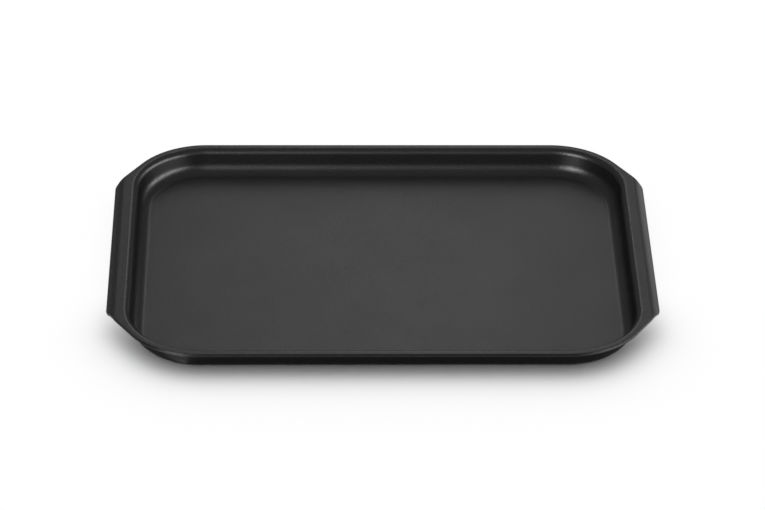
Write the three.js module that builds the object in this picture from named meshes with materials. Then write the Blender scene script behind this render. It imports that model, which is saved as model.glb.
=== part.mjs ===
// Shallow roasting tray: one pressed sheet with wing handles, its edge rolled over a wire.
// Millimetres, +Z up, X along the length. The origin is on the table, under the middle of the floor.
import * as THREE from 'three';

// Overall sizes
const OVERALL_LENGTH = 400;
const OVERALL_WIDTH = 280;
const RIM_HEIGHT = 19.4;

// Sheet and wired edge
const SHEET = 0.7;
const WIRE_DIAMETER = 0.9;
const WIRE_CLEARANCE = 0.1;
const CURL_TURN = degrees(270);

// Pan: mouth, walls and floor
const RIM_FLAT = 2.35;
const HANDLE_REACH = 12.7;
const MOUTH_CORNER_RADIUS = 55.5;
const MOUTH_BEND_RADIUS = 5;
const FLOOR_BEND_RADIUS = 9;
const WALL_DRAFT = degrees(8);

// Wing handles: slanted ends, rounded tips and the lip that bends down and slopes to the outer edge
const HANDLE_END_SLANT = degrees(56.2);
const HANDLE_TIP_RADIUS = 8;
const LIP_BEND_RADIUS = 8;
const LIP_TURN = degrees(34);
const LIP_SLOPE = 2.5;

// Facets
const LONG_SIDE_STEPS = 2;
const SHORT_SIDE_STEPS = 2;
const CORNER_STEPS = 7;
const SLANT_STEPS = 8;
const TIP_STEPS = 3;
const MOUTH_BEND_STEPS = 5;
const FLOOR_BEND_STEPS = 6;
const LIP_STEPS = 4;
const CURL_STEPS = 9;
const WIRE_SIDES = 8;

// Sizes that follow from these
const WIRE_RADIUS = WIRE_DIAMETER / 2;
const CURL_BORE = WIRE_RADIUS + WIRE_CLEARANCE;
const CURL_RADIUS = CURL_BORE + SHEET;
const MOUTH_HALF_LENGTH = OVERALL_LENGTH / 2 - HANDLE_REACH;
const MOUTH_HALF_WIDTH = OVERALL_WIDTH / 2 - CURL_RADIUS - RIM_FLAT;
const CORNER_X = MOUTH_HALF_LENGTH - MOUTH_CORNER_RADIUS;
const CORNER_Y = MOUTH_HALF_WIDTH - MOUTH_CORNER_RADIUS;
const WALL_SLOPE = Math.PI / 2 - WALL_DRAFT;

// The lip bends away from the flat wing at LIP_START. Its curl is the outermost part of the tray.
// LIP_END and EDGE_X are measured along the sheet, as if the lip were still flat.
const LIP_REACH = (LIP_BEND_RADIUS - CURL_RADIUS) * Math.sin(LIP_TURN) + LIP_SLOPE * Math.cos(LIP_TURN);
const LIP_START = OVERALL_LENGTH / 2 - CURL_RADIUS - LIP_REACH;
const LIP_END = LIP_START + LIP_BEND_RADIUS * LIP_TURN;
const EDGE_X = LIP_END + LIP_SLOPE;

function degrees(angle) {
  return THREE.MathUtils.degToRad(angle);
}

function steps(count, from, to) {
  return Array.from({ length: count + 1 }, (_, i) => from + ((to - from) * i) / count);
}

// Stations run round one quarter, from the middle of the long side to the middle of the handle.
// Each has a spine point, an outward direction of the pan, an edge point and an outward direction of the edge.
function quarterStations() {
  const up = new THREE.Vector2(0, 1);
  const out = new THREE.Vector2(1, 0);
  const edgeRadius = MOUTH_CORNER_RADIUS + RIM_FLAT;
  const station = (spine, pan, edge, normal) => ({ spine, pan, edge, normal });
  const ray = (angle) => new THREE.Vector2(Math.sin(angle), Math.cos(angle));
  const corner = new THREE.Vector2(CORNER_X, CORNER_Y);
  const onArc = (angle) => corner.clone().addScaledVector(ray(angle), edgeRadius);

  const longSide = steps(LONG_SIDE_STEPS, 0, CORNER_X).slice(0, -1).map((x) => {
    const spine = new THREE.Vector2(x, CORNER_Y);
    return station(spine, up, spine.clone().addScaledVector(up, edgeRadius), up);
  });
  const round = steps(CORNER_STEPS, 0, HANDLE_END_SLANT).slice(0, -1).map((angle) => (
    station(corner, ray(angle), onArc(angle), ray(angle))
  ));

  // The slanted end leaves the corner arc as its tangent and meets the outer edge in the rounded tip.
  const slantStart = onArc(HANDLE_END_SLANT);
  const slant = new THREE.Vector2(Math.cos(HANDLE_END_SLANT), -Math.sin(HANDLE_END_SLANT));
  const tipTurn = Math.PI / 2 - HANDLE_END_SLANT;
  const tipTrim = HANDLE_TIP_RADIUS * Math.tan(tipTurn / 2);
  const slantLength = (EDGE_X - slantStart.x) / slant.x - tipTrim;
  const slantEnd = slantStart.clone().addScaledVector(slant, slantLength);
  const tipCentre = slantEnd.clone().addScaledVector(ray(HANDLE_END_SLANT), -HANDLE_TIP_RADIUS);
  const slantPoints = steps(SLANT_STEPS, 0, slantLength).slice(0, -1).map((run) => ({
    edge: slantStart.clone().addScaledVector(slant, run),
    normal: ray(HANDLE_END_SLANT),
  }));
  const tipPoints = steps(TIP_STEPS, HANDLE_END_SLANT, Math.PI / 2).map((angle) => ({
    edge: tipCentre.clone().addScaledVector(ray(angle), HANDLE_TIP_RADIUS),
    normal: ray(angle),
  }));
  const outerPoints = [...slantPoints, ...tipPoints];
  const panAngles = steps(outerPoints.length - 1, HANDLE_END_SLANT, Math.PI / 2);
  const wingEnd = outerPoints.map((point, i) => (
    station(corner, ray(panAngles[i]), point.edge, point.normal)
  ));

  const shortSide = steps(SHORT_SIDE_STEPS, 1, 0).slice(1).map((share) => (
    station(
      new THREE.Vector2(CORNER_X, CORNER_Y * share),
      out,
      new THREE.Vector2(EDGE_X, tipCentre.y * share),
      out,
    )
  ));
  return [...longSide, ...round, ...wingEnd, ...shortSide];
}

// The quarter, mirrored into a closed loop, clockwise seen from above
function allStations() {
  const quarter = quarterStations();
  const mirror = (list, sx, sy) => list.map((s) => {
    const flip = (v) => new THREE.Vector2(v.x * sx, v.y * sy);
    return { spine: flip(s.spine), pan: flip(s.pan), edge: flip(s.edge), normal: flip(s.normal) };
  });
  const back = quarter.slice(0, -1);
  const front = [...quarter].reverse().slice(0, -1);
  return [
    ...back,
    ...mirror(front, 1, -1),
    ...mirror(back, -1, -1),
    ...mirror(front, -1, 1),
  ];
}

// Turns the lip down: the sheet beyond LIP_START wraps round an axis below it, then runs on straight.
function turnLip(point) {
  const run = Math.abs(point.x) - LIP_START;
  if (run <= 0) {
    return point;
  }
  const angle = Math.min(run / LIP_BEND_RADIUS, LIP_TURN);
  const straight = run - angle * LIP_BEND_RADIUS;
  const radius = LIP_BEND_RADIUS - (RIM_HEIGHT - point.z);
  const reach = radius * Math.sin(angle) + straight * Math.cos(angle);
  const height = radius * Math.cos(angle) - straight * Math.sin(angle);
  point.x = Math.sign(point.x) * (LIP_START + reach);
  point.z = RIM_HEIGHT - LIP_BEND_RADIUS + height;
  return point;
}

// A ring of the pan wall, set in from the mouth
function panRing(stations, inset, z) {
  return stations.map((s) => {
    const p = s.spine.clone().addScaledVector(s.pan, MOUTH_CORNER_RADIUS - inset);
    return new THREE.Vector3(p.x, p.y, z);
  });
}

// A ring of the rim and wings, a share of the way from the mouth to the edge
function rimRing(stations, share, z) {
  return stations.map((s) => {
    const mouth = s.spine.clone().addScaledVector(s.pan, MOUTH_CORNER_RADIUS);
    const p = mouth.lerp(s.edge, share);
    return turnLip(new THREE.Vector3(p.x, p.y, z));
  });
}

// A ring round the edge bead: turn is counted outwards and down from its top.
function beadRing(stations, radius, turn) {
  return stations.map((s) => {
    const p = s.edge.clone().addScaledVector(s.normal, radius * Math.sin(turn));
    return turnLip(new THREE.Vector3(p.x, p.y, RIM_HEIGHT - CURL_RADIUS + radius * Math.cos(turn)));
  });
}

// The pan's section from the floor to the mouth, on one face of the sheet.
// depth is 0 on the inner face and the sheet's thickness on the outer one.
function wallRings(stations, depth) {
  const rise = RIM_HEIGHT - SHEET;
  const bends = MOUTH_BEND_RADIUS + FLOOR_BEND_RADIUS;
  const wall = (rise - bends * (1 - Math.cos(WALL_SLOPE))) / Math.sin(WALL_SLOPE);
  const floorInset = bends * Math.sin(WALL_SLOPE) + wall * Math.cos(WALL_SLOPE);
  const floorRadius = FLOOR_BEND_RADIUS + depth;
  const mouthRadius = MOUTH_BEND_RADIUS - depth;
  const floorBend = steps(FLOOR_BEND_STEPS, 0, WALL_SLOPE).map((a) => panRing(
    stations,
    floorInset - floorRadius * Math.sin(a),
    SHEET + FLOOR_BEND_RADIUS - floorRadius * Math.cos(a),
  ));
  const mouthBend = steps(MOUTH_BEND_STEPS, WALL_SLOPE, 0).map((a) => panRing(
    stations,
    mouthRadius * Math.sin(a),
    RIM_HEIGHT - MOUTH_BEND_RADIUS + mouthRadius * Math.cos(a),
  ));
  return [...floorBend, ...mouthBend];
}

// Rings across the rim, close together where the lip bends
function flangeRings(stations, depth) {
  const width = EDGE_X - MOUTH_HALF_LENGTH;
  const bendShares = steps(LIP_STEPS, LIP_START, LIP_END).map((x) => (x - MOUTH_HALF_LENGTH) / width);
  return [...bendShares, 1].map((share) => rimRing(stations, share, RIM_HEIGHT - depth));
}

// Joins rings of equal length into one closed surface, either capped by its first and last ring or closed
// back on itself.
function skin(rings, capped) {
  const size = rings[0].length;
  const positions = rings.flat().flatMap((p) => [p.x, p.y, p.z]);
  const triangles = [];
  const at = (ring, i) => (ring % rings.length) * size + (i % size);
  const bands = capped ? rings.length - 1 : rings.length;
  for (let ring = 0; ring < bands; ring += 1) {
    for (let i = 0; i < size; i += 1) {
      triangles.push(at(ring, i), at(ring + 1, i + 1), at(ring + 1, i));
      triangles.push(at(ring, i), at(ring, i + 1), at(ring + 1, i + 1));
    }
  }
  if (capped) {
    const first = capFaces(rings[0]);
    const last = capFaces(rings[rings.length - 1]);
    const base = (rings.length - 1) * size;
    first.forEach(([a, b, c]) => triangles.push(a, b, c));
    last.forEach(([a, b, c]) => triangles.push(base + a, base + c, base + b));
  }
  const geometry = new THREE.BufferGeometry();
  geometry.setAttribute('position', new THREE.Float32BufferAttribute(positions, 3));
  geometry.setIndex(triangles);
  geometry.computeVertexNormals();
  return geometry;
}

// Triangles of a flat ring, counterclockwise seen from above
function capFaces(ring) {
  const outline = ring.map((p) => new THREE.Vector2(p.x, p.y));
  const clockwise = THREE.ShapeUtils.isClockWise(outline);
  const faces = THREE.ShapeUtils.triangulateShape(outline, []);
  return faces.map(([a, b, c]) => {
    const area = THREE.ShapeUtils.area([outline[a], outline[b], outline[c]]);
    return area > 0 || (area === 0 && !clockwise) ? [a, b, c] : [a, c, b];
  });
}

// The pan's section starts at the rim of the floor, climbs the inner face, goes round the curl and its bore
// and comes back down the outer face.
function panGeometry(stations) {
  const curl = steps(CURL_STEPS, 0, CURL_TURN);
  const rings = [
    ...wallRings(stations, 0),
    ...flangeRings(stations, 0),
    ...curl.slice(1).map((turn) => beadRing(stations, CURL_RADIUS, turn)),
    ...[...curl].reverse().slice(0, -1).map((turn) => beadRing(stations, CURL_BORE, turn)),
    ...flangeRings(stations, SHEET).reverse(),
    ...wallRings(stations, SHEET).reverse(),
  ];
  return skin(rings, true);
}

function wireGeometry(stations) {
  const turns = steps(WIRE_SIDES, 0, 2 * Math.PI).slice(0, -1);
  return skin(turns.map((turn) => beadRing(stations, WIRE_RADIUS, turn)), false);
}

function part(name, geometry, material) {
  const mesh = new THREE.Mesh(geometry, new THREE.MeshStandardMaterial(material));
  mesh.name = name;
  return mesh;
}

const stations = allStations();
const tray = new THREE.Group();
tray.add(
  part('tray_pan', panGeometry(stations), { color: 0x2a2a2b, roughness: 0.4, metalness: 0.2 }),
  part('rim_wire', wireGeometry(stations), { color: 0xa9abad, roughness: 0.35, metalness: 1 }),
);

export default tray;
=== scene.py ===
"""A shallow dark roasting tray with wing handles, on a white sweep under soft studio light."""
import math

import bpy
import numpy as np
from mathutils import Matrix, Vector


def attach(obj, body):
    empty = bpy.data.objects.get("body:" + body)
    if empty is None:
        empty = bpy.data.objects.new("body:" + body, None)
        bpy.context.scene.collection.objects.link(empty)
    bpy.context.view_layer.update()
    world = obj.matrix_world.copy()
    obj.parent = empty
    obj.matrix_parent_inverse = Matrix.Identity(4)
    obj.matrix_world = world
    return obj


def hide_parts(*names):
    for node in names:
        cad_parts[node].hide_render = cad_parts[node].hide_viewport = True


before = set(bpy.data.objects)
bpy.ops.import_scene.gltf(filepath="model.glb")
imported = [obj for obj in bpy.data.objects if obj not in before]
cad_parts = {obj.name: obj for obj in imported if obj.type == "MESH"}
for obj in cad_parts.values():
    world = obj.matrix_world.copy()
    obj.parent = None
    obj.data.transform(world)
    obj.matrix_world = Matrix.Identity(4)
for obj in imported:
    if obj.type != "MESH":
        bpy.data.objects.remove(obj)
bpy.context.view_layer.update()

# Tray sizes, in millimetres
MM = 0.001
OVERALL_LENGTH = 399.9
OVERALL_WIDTH = 279.9
RIM_HEIGHT = 19.4
SHEET = 0.7
WIRE_RADIUS = 0.45
WIRE_CLEARANCE = 0.1
CURL_TURN = math.radians(270)
RIM_FLAT = 2.35
HANDLE_REACH = 12.7
MOUTH_CORNER_RADIUS = 55.5
MOUTH_BEND_RADIUS = 5.0
FLOOR_BEND_RADIUS = 9.0
WALL_DRAFT = math.radians(8)
HANDLE_END_SLANT = math.radians(56.2)
HANDLE_TIP_RADIUS = 8.0
LIP_BEND_RADIUS = 8.0
LIP_TURN = math.radians(34)
LIP_SLOPE = 2.5
FACE_TURN = math.radians(65)
FACE_CUT = 0.25
FACE_SOFTNESS = 0.05
LEAST_SLANT = 0.1
EDGE_START = math.radians(14)
EDGE_END = math.radians(110)
# The mouth values place a painted highlight, a paler band along the top of the mouth bend; the edge values
# place real rubbing together with a painted highlight along the top of the curl.
MOUTH_HIGHLIGHT_TILT = math.radians(9)
MOUTH_HIGHLIGHT_SPREAD = math.radians(9)
EDGE_WEAR_AND_HIGHLIGHT_TURN = math.radians(32)
EDGE_WEAR_AND_HIGHLIGHT_SPREAD = math.radians(14)
EDGE_WEAR_AND_HIGHLIGHT = 0.4

CURL_BORE = WIRE_RADIUS + WIRE_CLEARANCE
CURL_RADIUS = CURL_BORE + SHEET
CORNER_X = OVERALL_LENGTH / 2 - HANDLE_REACH - MOUTH_CORNER_RADIUS
CORNER_Y = OVERALL_WIDTH / 2 - CURL_RADIUS - RIM_FLAT - MOUTH_CORNER_RADIUS
EDGE_RADIUS = MOUTH_CORNER_RADIUS + RIM_FLAT
WALL_SLOPE = math.pi / 2 - WALL_DRAFT
LIP_REACH = (LIP_BEND_RADIUS - CURL_RADIUS) * math.sin(LIP_TURN) + LIP_SLOPE * math.cos(LIP_TURN)
LIP_START = OVERALL_LENGTH / 2 - CURL_RADIUS - LIP_REACH
EDGE_X = LIP_START + LIP_BEND_RADIUS * LIP_TURN + LIP_SLOPE

# Mesh fineness
LONG_STEPS = 16
CORNER_STEPS = 28
SLANT_STEPS = 56
TIP_STEPS = 14
SHORT_STEPS = 12
BEND_STEPS = 18
WALL_STEPS = 4
FLANGE_STEPS = 56
CURL_STEPS = 72
WIRE_SIDES = 24
SHARP_ANGLE = math.radians(50)


def ray(angle):
    return np.stack([np.sin(angle), np.cos(angle)], -1)


def quarter():
    """Spine point, pan direction, edge point and edge direction, from the middle of the long side to the
    middle of the handle."""
    corner = np.array([CORNER_X, CORNER_Y])
    rows = []
    for x in np.linspace(0, CORNER_X, LONG_STEPS, endpoint=False):
        spine = np.array([x, CORNER_Y])
        rows.append((spine, ray(0.0), spine + EDGE_RADIUS * ray(0.0), ray(0.0)))
    for a in np.linspace(0, HANDLE_END_SLANT, CORNER_STEPS, endpoint=False):
        rows.append((corner, ray(a), corner + EDGE_RADIUS * ray(a), ray(a)))
    start = corner + EDGE_RADIUS * ray(HANDLE_END_SLANT)
    along = np.array([math.cos(HANDLE_END_SLANT), -math.sin(HANDLE_END_SLANT)])
    trim = HANDLE_TIP_RADIUS * math.tan((math.pi / 2 - HANDLE_END_SLANT) / 2)
    length = (EDGE_X - start[0]) / along[0] - trim
    tip = start + along * length - HANDLE_TIP_RADIUS * ray(HANDLE_END_SLANT)
    ends = []
    for s in np.linspace(0, length, SLANT_STEPS, endpoint=False):
        ends.append((start + along * s, ray(HANDLE_END_SLANT)))
    for a in np.linspace(HANDLE_END_SLANT, math.pi / 2, TIP_STEPS + 1):
        ends.append((tip + HANDLE_TIP_RADIUS * ray(a), ray(a)))
    for a, (edge, normal) in zip(np.linspace(HANDLE_END_SLANT, math.pi / 2, len(ends)), ends):
        rows.append((corner, ray(a), edge, normal))
    out = ray(math.pi / 2)
    for share in np.linspace(1, 0, SHORT_STEPS + 1)[1:]:
        rows.append((np.array([CORNER_X, CORNER_Y * share]), out, np.array([EDGE_X, tip[1] * share]), out))
    return [np.array(column) for column in zip(*rows)]


def loop():
    """The quarter mirrored into the whole outline, clockwise from above."""
    back = quarter()
    turns = ((1, 1, False), (1, -1, True), (-1, -1, False), (-1, 1, True))
    parts = []
    for sx, sy, flip in turns:
        parts.append([(c[::-1] if flip else c)[:-1] * np.array([sx, sy]) for c in back])
    return [np.concatenate(column) for column in zip(*parts)]


SPINE, PAN, EDGE, EDGE_OUT = loop()
MOUTH = SPINE + MOUTH_CORNER_RADIUS * PAN


def lifted(points, z):
    return np.column_stack([points, np.full(len(points), z)])


def turn_lip(p):
    """Bends the sheet beyond the wing's flat down round an axis below it."""
    run = np.maximum(np.abs(p[:, 0]) - LIP_START, 0)
    angle = np.minimum(run / LIP_BEND_RADIUS, LIP_TURN)
    straight = run - angle * LIP_BEND_RADIUS
    radius = LIP_BEND_RADIUS - (RIM_HEIGHT - p[:, 2])
    x = np.sign(p[:, 0]) * (LIP_START + radius * np.sin(angle) + straight * np.cos(angle))
    z = RIM_HEIGHT - LIP_BEND_RADIUS + radius * np.cos(angle) - straight * np.sin(angle)
    bent = run > 0
    return np.column_stack([np.where(bent, x, p[:, 0]), p[:, 1], np.where(bent, z, p[:, 2])])


def pan_ring(inset, z):
    return lifted(SPINE + (MOUTH_CORNER_RADIUS - inset) * PAN, z)


def rim_ring(share, depth):
    return turn_lip(lifted(MOUTH + share * (EDGE - MOUTH), RIM_HEIGHT - depth))


def bead_ring(radius, turn):
    z = RIM_HEIGHT - CURL_RADIUS + radius * math.cos(turn)
    return turn_lip(lifted(EDGE + radius * math.sin(turn) * EDGE_OUT, z))


def curl_reach(turn):
    """Radius of the curl's outside, which is pressed flat over a narrow face."""
    slant = math.cos(turn - FACE_TURN)
    flat = (CURL_RADIUS - FACE_CUT) / max(slant, LEAST_SLANT)
    both = math.exp(-CURL_RADIUS / FACE_SOFTNESS) + math.exp(-flat / FACE_SOFTNESS)
    return -FACE_SOFTNESS * math.log(both)


def wall_rings(depth):
    bends = MOUTH_BEND_RADIUS + FLOOR_BEND_RADIUS
    wall = (RIM_HEIGHT - SHEET - bends * (1 - math.cos(WALL_SLOPE))) / math.sin(WALL_SLOPE)
    inset = bends * math.sin(WALL_SLOPE) + wall * math.cos(WALL_SLOPE)
    low, high = FLOOR_BEND_RADIUS + depth, MOUTH_BEND_RADIUS - depth
    rings = []
    for a in np.linspace(0, WALL_SLOPE, BEND_STEPS + 1):
        rings.append((inset - low * math.sin(a), SHEET + FLOOR_BEND_RADIUS - low * math.cos(a)))
    top = (high * math.sin(WALL_SLOPE), RIM_HEIGHT - MOUTH_BEND_RADIUS + high * math.cos(WALL_SLOPE))
    foot = rings[-1]
    for s in np.linspace(0, 1, WALL_STEPS + 1)[1:-1]:
        rings.append((foot[0] + s * (top[0] - foot[0]), foot[1] + s * (top[1] - foot[1])))
    for a in np.linspace(WALL_SLOPE, 0, BEND_STEPS + 1):
        rings.append((high * math.sin(a), RIM_HEIGHT - MOUTH_BEND_RADIUS + high * math.cos(a)))
    return [pan_ring(*r) for r in rings]


def skin(name, rings, capped, wear_and_highlight=None, starts=()):
    """A smooth closed mesh through rings of equal length, with flat caps on its ends if it is capped.
    Starts holds the ring at which each material after the first begins."""
    count, size = len(rings), len(rings[0])
    points = np.concatenate(rings) * MM
    bands = count - 1 if capped else count
    ring, step = np.meshgrid(np.arange(bands), np.arange(size), indexing="ij")
    following = (step + 1) % size
    above = (ring + 1) % count
    lower, upper = ring * size, above * size
    quads = np.stack([lower + step, lower + following, upper + following, upper + step], -1)
    faces = quads.reshape(-1, 4).tolist()
    if capped:
        faces.append(list(range(size))[::-1])
        faces.append(list(range((count - 1) * size, count * size)))
    mesh = bpy.data.meshes.new(name)
    mesh.from_pydata(points.tolist(), [], faces)
    mesh.polygons.foreach_set("use_smooth", [True] * len(mesh.polygons))
    slots = np.repeat(np.searchsorted(starts, np.arange(bands), side="right"), size).tolist()
    if capped:
        slots += [0, len(starts)]
    mesh.polygons.foreach_set("material_index", slots)
    if wear_and_highlight is not None:
        layer = mesh.attributes.new("wear_and_highlight", "FLOAT", "POINT")
        layer.data.foreach_set("value", np.repeat(wear_and_highlight, size).astype(np.float32))
    mesh.update()
    mesh.set_sharp_from_angle(angle=SHARP_ANGLE)
    piece = bpy.data.objects.new(name, mesh)
    bpy.context.scene.collection.objects.link(piece)
    return piece


def bell(angles, middle, width):
    return np.exp(-((angles - middle) / width) ** 2)


def tray_rings():
    """Rings of the section, from the floor up the inner face, round the curl and its bore and back down
    outside, with the paler tone on each (a painted highlight on the mouth bend, rubbing together with a
    painted highlight on the curl) and the rings at which the edge and the outside begin."""
    curl = np.linspace(0, CURL_TURN, CURL_STEPS + 1)
    mouth = np.linspace(WALL_SLOPE, 0, BEND_STEPS + 1)
    shares = np.linspace(0, 1, FLANGE_STEPS + 1)[1:]
    inner, outer = wall_rings(0), wall_rings(SHEET)
    rings = inner + [rim_ring(s, 0) for s in shares]
    start = len(rings)
    rings += [bead_ring(curl_reach(t), t) for t in curl[1:]]
    rings += [bead_ring(CURL_BORE, t) for t in curl[:0:-1]]
    rings += [rim_ring(s, SHEET) for s in shares[::-1]] + outer[::-1]
    wear_and_highlight = np.zeros(len(rings))
    # Painted highlight: the first degrees of the mouth bend are painted paler and smoother.
    wear_and_highlight[len(inner) - len(mouth):len(inner)] = bell(mouth, MOUTH_HIGHLIGHT_TILT, MOUTH_HIGHLIGHT_SPREAD)
    # The top of the curl is painted paler: real rubbing along the edge together with a painted highlight.
    wear_and_highlight[start:start + CURL_STEPS] = EDGE_WEAR_AND_HIGHLIGHT * bell(curl[1:], EDGE_WEAR_AND_HIGHLIGHT_TURN, EDGE_WEAR_AND_HIGHLIGHT_SPREAD)
    starts = [start + int(np.searchsorted(curl, turn)) for turn in (EDGE_START, EDGE_END)]
    return rings, wear_and_highlight, starts


rings, wear_and_highlight, starts = tray_rings()
tray = skin("tray_pan_skin", rings, True, wear_and_highlight, starts)
wire_turns = np.linspace(0, 2 * math.pi, WIRE_SIDES, endpoint=False)
wire = skin("rim_wire_round", [bead_ring(WIRE_RADIUS, t) for t in wire_turns], False)


# Materials
CLOUD_SCALE = 18.0
PEEL_SCALE = 1350.0
GRAIN_SCALE = 2600.0
PATCH_SCALE = 220.0
CLOUD_SHARE = 0.2
SPECK_SHARE = 0.8
TONE_START = 0.35
TONE_END = 0.65
LEAST_WEAR_AND_HIGHLIGHT = 0.4
POLISH = 0.06
PEEL_STRENGTH = 0.6
PEEL_DEPTH = 0.0002
GRAIN_STRENGTH = 0.1
GRAIN_DEPTH = 0.0001
COATING_IOR = 1.5
FLAKE_RIM = 0.58
STREAK_SCALE = 1500.0
STREAK_STRENGTH = 0.1
STREAK_DEPTH = 0.0001
STEEL_DARK = (0.36, 0.37, 0.38, 1)
STEEL_PALE = (0.48, 0.49, 0.50, 1)
STEEL_SMOOTH = 0.28
STEEL_ROUGH = 0.42
MIX_FACTOR, MIX_FIRST, MIX_SECOND, MIX_RESULT = 0, 6, 7, 2


def socket(node, name, value):
    node.inputs[name].default_value = value


def material(name):
    mat = bpy.data.materials.new(name)
    mat.use_nodes = True
    tree = mat.node_tree
    return mat, tree.nodes, tree.links, tree.nodes["Principled BSDF"]


def noise(nodes, links, coords, scale, detail, roughness):
    node = nodes.new("ShaderNodeTexNoise")
    socket(node, "Scale", scale)
    socket(node, "Detail", detail)
    socket(node, "Roughness", roughness)
    links.new(coords, node.inputs["Vector"])
    return node.outputs["Fac"]


def spread(nodes, links, value, low, high, start=TONE_START, end=TONE_END):
    node = nodes.new("ShaderNodeMapRange")
    socket(node, "From Min", start)
    socket(node, "From Max", end)
    socket(node, "To Min", low)
    socket(node, "To Max", high)
    links.new(value, node.inputs["Value"])
    return node.outputs["Result"]


def bump(nodes, links, height, strength, distance, before=None):
    node = nodes.new("ShaderNodeBump")
    socket(node, "Strength", strength)
    socket(node, "Distance", distance)
    links.new(height, node.inputs["Height"])
    if before is not None:
        links.new(before, node.inputs["Normal"])
    return node.outputs["Normal"]


def arithmetic(nodes, links, operation, first, second):
    node = nodes.new("ShaderNodeMath")
    node.operation = operation
    for value, entry in zip((first, second), node.inputs):
        if isinstance(value, (int, float)):
            entry.default_value = value
        else:
            links.new(value, entry)
    return node.outputs["Value"]


def coating(name, dark, pale, worn_and_highlight_tone, smooth, rough, specular, flake):
    """Dark coating with an orange-peel skin and a share of metal flake, speckled between two tones and two
    roughnesses, painted paler and smoother in patches along the mouth as a painted highlight, and along the
    curl as rubbing together with a painted highlight."""
    mat, nodes, links, shader = material(name)
    coords = nodes.new("ShaderNodeTexCoord").outputs["Object"]
    broad = noise(nodes, links, coords, CLOUD_SCALE, detail=3.0, roughness=0.5)
    peel = noise(nodes, links, coords, PEEL_SCALE, detail=1.0, roughness=0.5)
    grain = noise(nodes, links, coords, GRAIN_SCALE, detail=2.0, roughness=0.6)
    clouds = arithmetic(nodes, links, "MULTIPLY", broad, CLOUD_SHARE)
    specks = arithmetic(nodes, links, "MULTIPLY", peel, SPECK_SHARE)
    ramp = nodes.new("ShaderNodeValToRGB")
    ramp.color_ramp.elements[0].position = TONE_START
    ramp.color_ramp.elements[0].color = (dark, dark, dark, 1)
    ramp.color_ramp.elements[1].position = TONE_END
    ramp.color_ramp.elements[1].color = (pale, pale, pale, 1)
    links.new(arithmetic(nodes, links, "ADD", clouds, specks), ramp.inputs["Fac"])
    # The paler tone mixed in below is a painted highlight along the mouth, and rubbing together with a
    # painted highlight along the curl.
    edge = nodes.new("ShaderNodeAttribute")
    edge.attribute_name = "wear_and_highlight"
    blotches = noise(nodes, links, coords, PATCH_SCALE, detail=3.0, roughness=0.6)
    patches = spread(nodes, links, blotches, LEAST_WEAR_AND_HIGHLIGHT, 1.0)
    wear_and_highlight_share = arithmetic(nodes, links, "MULTIPLY", edge.outputs["Fac"], patches)
    tone = nodes.new("ShaderNodeMix")
    tone.data_type = "RGBA"
    links.new(wear_and_highlight_share, tone.inputs[MIX_FACTOR])
    links.new(ramp.outputs["Color"], tone.inputs[MIX_FIRST])
    tone.inputs[MIX_SECOND].default_value = (worn_and_highlight_tone, worn_and_highlight_tone, worn_and_highlight_tone, 1)
    links.new(tone.outputs[MIX_RESULT], shader.inputs["Base Color"])
    polish = arithmetic(nodes, links, "MULTIPLY", wear_and_highlight_share, POLISH)
    gloss = arithmetic(nodes, links, "SUBTRACT", spread(nodes, links, grain, smooth, rough), polish)
    links.new(gloss, shader.inputs["Roughness"])
    normal = bump(nodes, links, peel, PEEL_STRENGTH, PEEL_DEPTH)
    normal = bump(nodes, links, grain, GRAIN_STRENGTH, GRAIN_DEPTH, normal)
    links.new(normal, shader.inputs["Normal"])
    socket(shader, "IOR", COATING_IOR)
    socket(shader, "Specular IOR Level", specular)
    rim = FLAKE_RIM if flake else 1.0
    socket(shader, "Specular Tint", (rim, rim, rim, 1))
    socket(shader, "Metallic", flake)
    return mat


def steel():
    mat, nodes, links, shader = material("drawn_steel_wire")
    coords = nodes.new("ShaderNodeTexCoord").outputs["Object"]
    streaks = noise(nodes, links, coords, STREAK_SCALE, detail=3.0, roughness=0.6)
    ramp = nodes.new("ShaderNodeValToRGB")
    ramp.color_ramp.elements[0].color = STEEL_DARK
    ramp.color_ramp.elements[1].color = STEEL_PALE
    links.new(streaks, ramp.inputs["Fac"])
    links.new(ramp.outputs["Color"], shader.inputs["Base Color"])
    links.new(spread(nodes, links, streaks, STEEL_SMOOTH, STEEL_ROUGH), shader.inputs["Roughness"])
    normal = bump(nodes, links, streaks, STREAK_STRENGTH, STREAK_DEPTH)
    links.new(normal, shader.inputs["Normal"])
    socket(shader, "Metallic", 1.0)
    return mat


inside = coating("satin_grey_coating", dark=0.066, pale=0.094, worn_and_highlight_tone=0.092,
                 smooth=0.29, rough=0.33, specular=0.5, flake=0.82)
# The edge and outside coatings are near-black copies of the one coating: painted shade where the tray faces
# its own shadowed floor.
edge = coating("painted_shade_edge", dark=0.0056, pale=0.0082, worn_and_highlight_tone=0.015,
               smooth=0.30, rough=0.36, specular=0.33, flake=0)
outside = coating("painted_shade_outside", dark=0.0036, pale=0.0046, worn_and_highlight_tone=0.008,
                  smooth=0.40, rough=0.48, specular=0.12, flake=0)
for finish in (inside, edge, outside):
    tray.data.materials.append(finish)
wire.data.materials.append(steel())

for piece, node, slot in ((tray, "tray_pan", "nonstick_coating"), (wire, "rim_wire", "wire_steel")):
    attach(piece, "root")
    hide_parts(node)

# Floor
FLOOR_SIZE = 12.0
FLOOR_DROP = 0.0001
floor_mesh = bpy.data.meshes.new("floor")
half = FLOOR_SIZE / 2
floor_corners = [(-half, -half, 0), (half, -half, 0), (half, half, 0), (-half, half, 0)]
floor_mesh.from_pydata(floor_corners, [], [(0, 1, 2, 3)])
floor = bpy.data.objects.new("floor", floor_mesh)
floor.location.z = -FLOOR_DROP
bpy.context.scene.collection.objects.link(floor)

FLOOR_WHITE = 0.97
# Painted light: behind these lines the floor glows white over most of its shadow.
CLEAR_START = -0.11
CLEAR_END = -0.03
CLEAR_SHARE = 0.88


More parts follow.
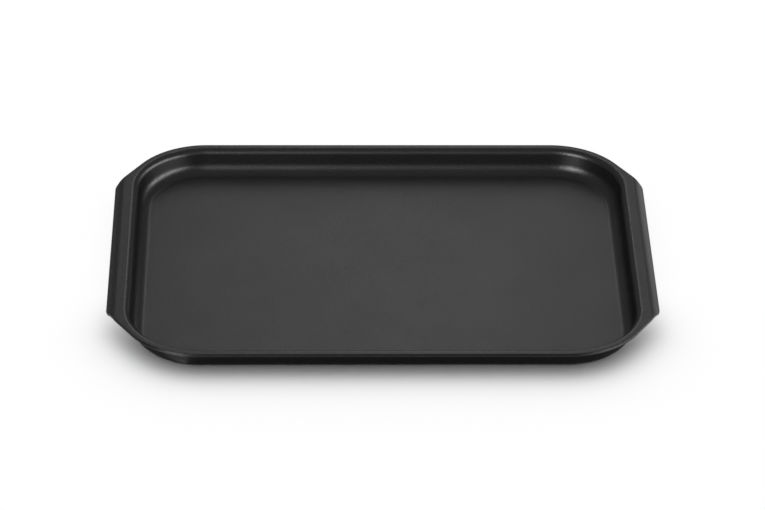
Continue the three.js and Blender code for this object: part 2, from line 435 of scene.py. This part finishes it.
def white_floor():
    """White sweep that keeps the whole shadow in front of the tray and a faint one beside and behind it,
    where a painted white glow, seen by camera and gloss rays, covers most of the shadow.
    """
    mat, nodes, links, shader = material("white_sweep")
    nodes.remove(shader)
    diffuse = nodes.new("ShaderNodeBsdfDiffuse")
    socket(diffuse, "Color", (FLOOR_WHITE, FLOOR_WHITE, FLOOR_WHITE, 1))
    glow = nodes.new("ShaderNodeEmission")
    place = nodes.new("ShaderNodeSeparateXYZ")
    links.new(nodes.new("ShaderNodeNewGeometry").outputs["Position"], place.inputs["Vector"])
    clear = nodes.new("ShaderNodeMapRange")
    clear.interpolation_type = "SMOOTHSTEP"
    socket(clear, "From Min", CLEAR_START)
    socket(clear, "From Max", CLEAR_END)
    socket(clear, "To Max", CLEAR_SHARE)
    links.new(place.outputs["Y"], clear.inputs["Value"])
    path = nodes.new("ShaderNodeLightPath")
    seen = arithmetic(nodes, links, "MAXIMUM", path.outputs["Is Camera Ray"], path.outputs["Is Glossy Ray"])
    share = arithmetic(nodes, links, "MULTIPLY", clear.outputs["Result"], seen)
    mix = nodes.new("ShaderNodeMixShader")
    links.new(share, mix.inputs["Fac"])
    links.new(diffuse.outputs["BSDF"], mix.inputs[1])
    links.new(glow.outputs["Emission"], mix.inputs[2])
    links.new(mix.outputs["Shader"], nodes["Material Output"].inputs["Surface"])
    return mat


floor_mesh.materials.append(white_floor())


# World: a soft white dome that lights every surface, and a dim room in the gloss
DOME_RISE = (0, 0.3, 1.55)
ROOM_LEVEL = 0.11


def studio_world():
    world = bpy.data.worlds.new("studio")
    bpy.context.scene.world = world
    world.use_nodes = True
    world.cycles.sampling_method = "NONE"
    nodes, links = world.node_tree.nodes, world.node_tree.links
    nodes.clear()
    tilt = nodes.new("ShaderNodeVectorMath")
    tilt.operation = "DOT_PRODUCT"
    tilt.inputs[1].default_value = DOME_RISE
    links.new(nodes.new("ShaderNodeTexCoord").outputs["Generated"], tilt.inputs[0])
    rise = arithmetic(nodes, links, "MAXIMUM", tilt.outputs["Value"], 0)
    dome = nodes.new("ShaderNodeBackground")
    links.new(rise, dome.inputs["Strength"])
    socket(dome, "Color", (1, 1, 1, 1))
    room = nodes.new("ShaderNodeBackground")
    socket(room, "Color", (ROOM_LEVEL, ROOM_LEVEL, ROOM_LEVEL, 1))
    path = nodes.new("ShaderNodeLightPath")
    mix = nodes.new("ShaderNodeMixShader")
    links.new(path.outputs["Is Glossy Ray"], mix.inputs["Fac"])
    links.new(dome.outputs["Background"], mix.inputs[1])
    links.new(room.outputs["Background"], mix.inputs[2])
    out = nodes.new("ShaderNodeOutputWorld")
    links.new(mix.outputs["Shader"], out.inputs["Surface"])


studio_world()


# Lamps
def softbox(name, place, target, width, height, radiance):
    """An area lamp at a place, facing a target, that lights gloss only. Its radiance is what a mirror of it
    would show."""
    place, target = Vector(place), Vector(target)
    lamp = bpy.data.lights.new(name, "AREA")
    lamp.shape = "RECTANGLE"
    lamp.size, lamp.size_y = width, height
    lamp.energy = radiance * math.pi * width * height
    light = bpy.data.objects.new(name, lamp)
    light.location = place
    light.rotation_mode = "QUATERNION"
    light.rotation_quaternion = (target - place).to_track_quat("-Z", "Y")
    light.visible_camera = False
    light.visible_diffuse = False
    bpy.context.scene.collection.objects.link(light)
    return light


TRAY_MIDDLE = (0, 0, 0.01)
BACK_WALL = (-0.1, 0.13, 0.01)
RIGHT_LIP = (0.199, 0, 0.017)
CARD_PLACE = (-0.157, -0.143, 0.0004)
ABOVE_CARD = (-0.157, -0.143, 1)

softbox("back_panel", (0.13, 3.02, 1.96), TRAY_MIDDLE, width=0.5, height=3.1, radiance=1.33)
softbox("back_wide", (0.2, 2.8, 1.0), TRAY_MIDDLE, width=4.6, height=1.9, radiance=0.045)
softbox("front_panel", (-0.45, -1.27, 0.8), BACK_WALL, width=1.1, height=0.85, radiance=0.36)
softbox("front_left", (-1.06, -1.52, 0.75), TRAY_MIDDLE, width=0.7, height=1.15, radiance=7.5)
softbox("right_side", (1.25, -0.35, 0.32), TRAY_MIDDLE, width=2.2, height=0.45, radiance=5)
softbox("back_right", (0.45, 0.42, 0.13), RIGHT_LIP, width=0.3, height=0.2, radiance=1.25)
softbox("floor_card", CARD_PLACE, ABOVE_CARD, width=0.03, height=0.03, radiance=1.6)

# Camera
CAMERA_PLACE = Vector((-57.08, -2315.18, 1541.4 + RIM_HEIGHT)) * MM
CAMERA_YAW = math.radians(1.435)
CAMERA_PITCH = math.radians(33.796)
CAMERA_ROLL = math.radians(0.768)
FOCAL_PIXELS = 3764.9
IMAGE_WIDTH = 765
SENSOR_WIDTH = 36.0
CLIP_START = 0.05
CLIP_END = 50.0

camera_data = bpy.data.cameras.new("camera")
camera_data.sensor_fit = "HORIZONTAL"
camera_data.sensor_width = SENSOR_WIDTH
camera_data.lens = SENSOR_WIDTH * FOCAL_PIXELS / IMAGE_WIDTH
camera_data.clip_start = CLIP_START
camera_data.clip_end = CLIP_END
camera = bpy.data.objects.new("camera", camera_data)
bpy.context.scene.collection.objects.link(camera)
bpy.context.scene.camera = camera
level = Vector((math.sin(CAMERA_YAW), math.cos(CAMERA_YAW), 0))
right = Vector((math.cos(CAMERA_YAW), -math.sin(CAMERA_YAW), 0))
ahead = level * math.cos(CAMERA_PITCH) - Vector((0, 0, 1)) * math.sin(CAMERA_PITCH)
up = right.cross(ahead)
rolled_right = right * math.cos(CAMERA_ROLL) + up * math.sin(CAMERA_ROLL)
rolled_up = up * math.cos(CAMERA_ROLL) - right * math.sin(CAMERA_ROLL)
axes = Matrix((rolled_right, rolled_up, -ahead)).transposed()
camera.rotation_mode = "QUATERNION"
camera.rotation_quaternion = axes.to_quaternion()
camera.location = CAMERA_PLACE

bpy.context.scene.view_settings.view_transform = "Standard"
